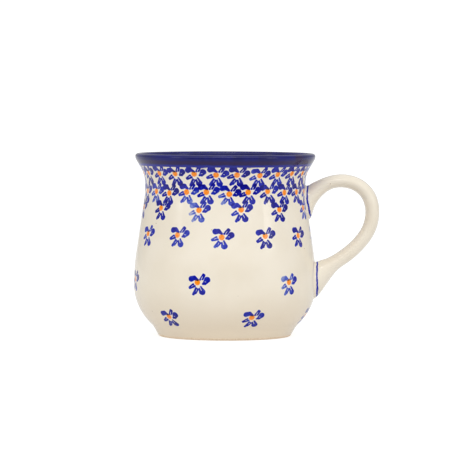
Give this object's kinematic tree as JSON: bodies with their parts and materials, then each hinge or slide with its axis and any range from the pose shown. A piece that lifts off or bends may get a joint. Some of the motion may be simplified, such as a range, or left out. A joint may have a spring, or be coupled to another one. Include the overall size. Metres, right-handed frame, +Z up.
{
  "type": "mug",
  "caption": "Bellied stoneware drinking mug with a narrow neck, a flared lip, a turned foot and one pulled loop handle, glazed inside and out.",
  "frame": {"origin": "on the cup's axis, at the plane of the foot ring that it stands on", "axes": "+Z up the cup's axis, +X from the axis towards the handle, +Y across the handle"},
  "size_m": [0.1227, 0.091, 0.0914],
  "materials": {
    "clay": "fired bare stoneware, matt and slightly gritty",
    "handle_clay": "fired stoneware under clear glaze",
    "slip": "smoothed slip under clear glaze, with a thin painted cobalt line",
    "painted_glaze": "glossy clear glaze over stamped cobalt flowers with orange centres",
    "cream_glaze": "glossy cream glaze",
    "cobalt_glaze": "glossy clear glaze over a brushed cobalt band",
    "handle_glaze": "glossy clear glaze over cream clay"
  },
  "bodies": {
    "root": {"stoneware_body": "clay", "handle": "handle_clay", "upper_joint_slip": "slip", "lower_joint_slip": "slip", "outside_glaze": "painted_glaze", "inside_glaze": "cream_glaze", "rim_glaze": "cobalt_glaze", "handle_glaze": "handle_glaze", "foot_recess_glaze": "cream_glaze"}
  },
  "joints": []
}
